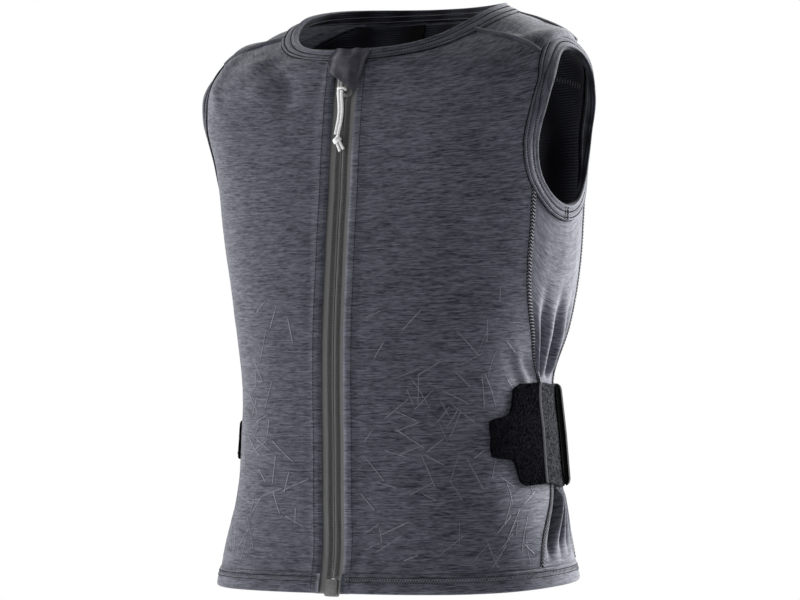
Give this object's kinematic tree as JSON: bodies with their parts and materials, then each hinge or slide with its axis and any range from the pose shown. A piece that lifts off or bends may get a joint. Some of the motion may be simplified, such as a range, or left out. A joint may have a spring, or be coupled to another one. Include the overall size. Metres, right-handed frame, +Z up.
{
  "type": "protective vest",
  "caption": "Child's sleeveless back protector vest with a front zip, gathered side panels, bound neck and armholes, a black pad inside the back and an elastic waist belt with fabric tabs.",
  "frame": {"origin": "middle of the neck opening, level with the points where the neck meets the shoulders, between the two shoulders that carry the vest", "axes": "+Z up along the standing wearer, the front faces -Y, +X is the wearer's left"},
  "size_m": [0.3182, 0.2111, 0.4535],
  "materials": {
    "heather_knit": "heather anthracite stretch knit",
    "binding_knit": "folded binding of the same knit",
    "zip_tape": "woven zip tape",
    "dark_plastic": "zip coil, slider and box",
    "pale_cord": "light grey braided cord",
    "hook_and_loop": "black fuzzy hook-and-loop",
    "webbing": "melange elastic webbing",
    "belt_black": "black belt back",
    "mesh_lining": "black ribbed mesh",
    "protector_foam": "soft protector foam"
  },
  "bodies": {
    "root": {"front_panel_left": "heather_knit", "front_panel_right": "heather_knit", "side_panel_left": "heather_knit", "side_panel_right": "heather_knit", "shoulder_yoke_left": "heather_knit", "shoulder_yoke_right": "heather_knit", "back_panel": "heather_knit", "hem_band": "heather_knit", "zip_garage": "heather_knit", "armhole_binding_left": "binding_knit", "armhole_binding_right": "binding_knit", "neck_binding": "binding_knit", "zip_tape_left": "zip_tape", "zip_tape_right": "zip_tape", "zip_coil_left": "dark_plastic", "zip_coil_right": "dark_plastic", "zip_slider": "dark_plastic", "zip_box": "dark_plastic", "pull_hitch": "pale_cord", "pull_cord_left": "pale_cord", "pull_cord_right": "pale_cord", "pull_knot": "pale_cord", "belt_tab_left": "hook_and_loop", "belt_tab_right": "hook_and_loop", "belt_elastic_left": "webbing", "belt_elastic_right": "webbing", "belt_back": "belt_black", "back_lining": "mesh_lining", "lining_tape_left": "mesh_lining", "lining_tape_right": "mesh_lining", "back_protector": "protector_foam"}
  },
  "joints": []
}
